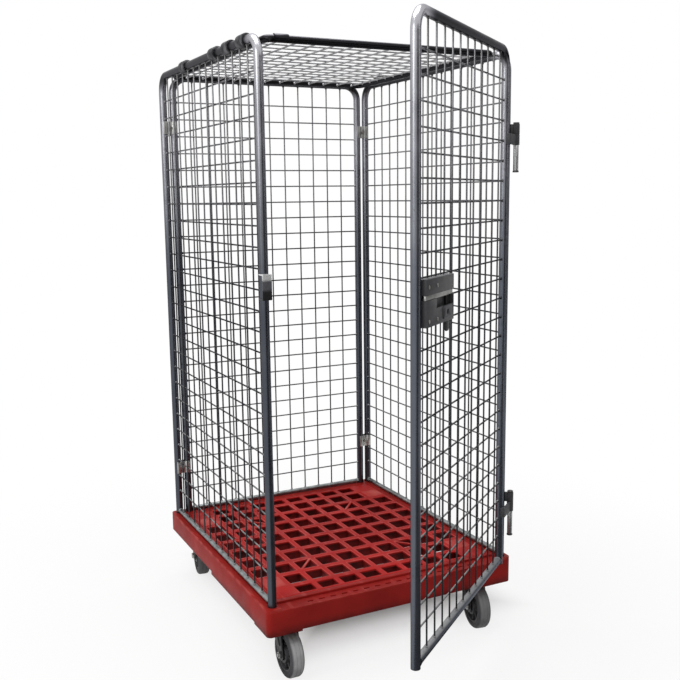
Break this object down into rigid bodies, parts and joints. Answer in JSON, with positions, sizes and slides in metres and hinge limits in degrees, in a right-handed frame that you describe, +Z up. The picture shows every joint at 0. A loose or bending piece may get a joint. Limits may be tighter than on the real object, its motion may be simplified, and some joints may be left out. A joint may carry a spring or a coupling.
{
  "type": "roll container",
  "caption": "Wheeled wire-mesh security cage on a moulded plastic base with swivel castors, hinged lid and lockable full-height front door.",
  "frame": {"origin": "on the floor, under the centre of the base platform", "axes": "+Z up, +X to the right as seen from the front, +Y from the front to the back"},
  "size_m": [0.748, 1.2567, 1.6],
  "materials": {
    "red_plastic": "moulded red plastic with a fine grain",
    "galvanised_tube": "zinc-plated steel tube",
    "mesh_wire": "zinc-plated steel wire",
    "zinc_plate": "bright zinc-plated steel",
    "fastener_steel": "zinc-plated fasteners",
    "dark_steel": "dark grey steel sheet",
    "black_steel": "black coated pressed steel",
    "black_plastic": "black plastic",
    "grey_tyre": "grey solid rubber",
    "bearing_steel": "bearing steel"
  },
  "bodies": {
    "cage": {"base_border": "red_plastic", "deck_grid": "red_plastic", "castor_plates": "zinc_plate", "castor_kingpins": "zinc_plate", "castor_bolts": "fastener_steel", "left_frame": "galvanised_tube", "left_wires_h": "mesh_wire", "left_wires_v": "mesh_wire", "right_frame": "galvanised_tube", "right_wires_h": "mesh_wire", "right_wires_v": "mesh_wire", "back_frame": "galvanised_tube", "back_wires_h": "mesh_wire", "back_wires_v": "mesh_wire", "panel_sills": "galvanised_tube", "tube_plugs": "black_plastic", "clip_plates": "zinc_plate", "clip_bolts": "fastener_steel", "clip_nuts": "fastener_steel", "hinge_eyes": "dark_steel", "hinge_pins": "zinc_plate", "hinge_sleeves": "zinc_plate", "keeper": "dark_steel"},
    "door": {"door_frame": "galvanised_tube", "door_wires_h": "mesh_wire", "door_wires_v": "mesh_wire", "door_straps": "dark_steel", "lock_plate": "dark_steel", "lock_upper_cover": "dark_steel", "lock_lower_cover": "dark_steel", "lock_hasp": "zinc_plate", "lock_rivets": "fastener_steel"},
    "lock_bolt": {"lock_bolt": "zinc_plate", "lock_handle": "dark_steel"},
    "lid": {"lid_frame": "galvanised_tube", "lid_wires_x": "mesh_wire", "lid_wires_y": "mesh_wire", "lid_hooks": "galvanised_tube", "lid_rests": "galvanised_tube", "lid_saddle": "galvanised_tube"},
    "castor_fl": {"fork_fl": "black_steel", "axle_fl": "zinc_plate"},
    "wheel_fl": {"rim_fl": "black_plastic", "tyre_fl": "grey_tyre", "bearings_fl": "bearing_steel"},
    "castor_fr": {"fork_fr": "black_steel", "axle_fr": "zinc_plate"},
    "wheel_fr": {"rim_fr": "black_plastic", "tyre_fr": "grey_tyre", "bearings_fr": "bearing_steel"},
    "castor_bl": {"fork_bl": "black_steel", "axle_bl": "zinc_plate"},
    "wheel_bl": {"rim_bl": "black_plastic", "tyre_bl": "grey_tyre", "bearings_bl": "bearing_steel"},
    "castor_br": {"fork_br": "black_steel", "axle_br": "zinc_plate"},
    "wheel_br": {"rim_br": "black_plastic", "tyre_br": "grey_tyre", "bearings_br": "bearing_steel"}
  },
  "joints": [
    {"name": "door_hinge", "type": "hinge", "parent": "cage", "child": "door", "pos_m": [0.369, -0.409, 0.873], "axis": [0, 0, 1], "range_deg": [-37.4, 227.6]},
    {"name": "lock_slide", "type": "slide", "parent": "door", "child": "lock_bolt", "axis": [-0.7944, -0.6074, 0], "range_m": [0, 0.046]},
    {"name": "lid_hinge", "type": "hinge", "parent": "cage", "child": "lid", "pos_m": [-0.348, 0, 1.583], "axis": [0, -1, 0], "range_deg": [0, 240]},
    {"name": "swivel_fl", "type": "hinge", "parent": "cage", "child": "castor_fl", "pos_m": [-0.294, -0.3315, 0.14], "axis": [0, 0, 1], "continuous": true},
    {"name": "spin_fl", "type": "hinge", "parent": "castor_fl", "child": "wheel_fl", "pos_m": [-0.294, -0.3695, 0.0625], "axis": [-1, 0, 0], "continuous": true},
    {"name": "swivel_fr", "type": "hinge", "parent": "cage", "child": "castor_fr", "pos_m": [0.294, -0.3315, 0.14], "axis": [0, 0, 1], "continuous": true},
    {"name": "spin_fr", "type": "hinge", "parent": "castor_fr", "child": "wheel_fr", "pos_m": [0.2874, -0.36892, 0.0625], "axis": [-0.9848, 0.1736, 0], "continuous": true},
    {"name": "swivel_bl", "type": "hinge", "parent": "cage", "child": "castor_bl", "pos_m": [-0.294, 0.3315, 0.14], "axis": [0, 0, 1], "continuous": true},
    {"name": "spin_bl", "type": "hinge", "parent": "castor_bl", "child": "wheel_bl", "pos_m": [-0.28871, 0.36913, 0.0625], "axis": [0.9903, -0.1392, 0], "continuous": true},
    {"name": "swivel_br", "type": "hinge", "parent": "cage", "child": "castor_br", "pos_m": [0.294, 0.3315, 0.14], "axis": [0, 0, 1], "continuous": true},
    {"name": "spin_br", "type": "hinge", "parent": "castor_br", "child": "wheel_br", "pos_m": [0.2861, 0.36867, 0.0625], "axis": [0.9781, 0.2079, 0], "continuous": true}
  ]
}
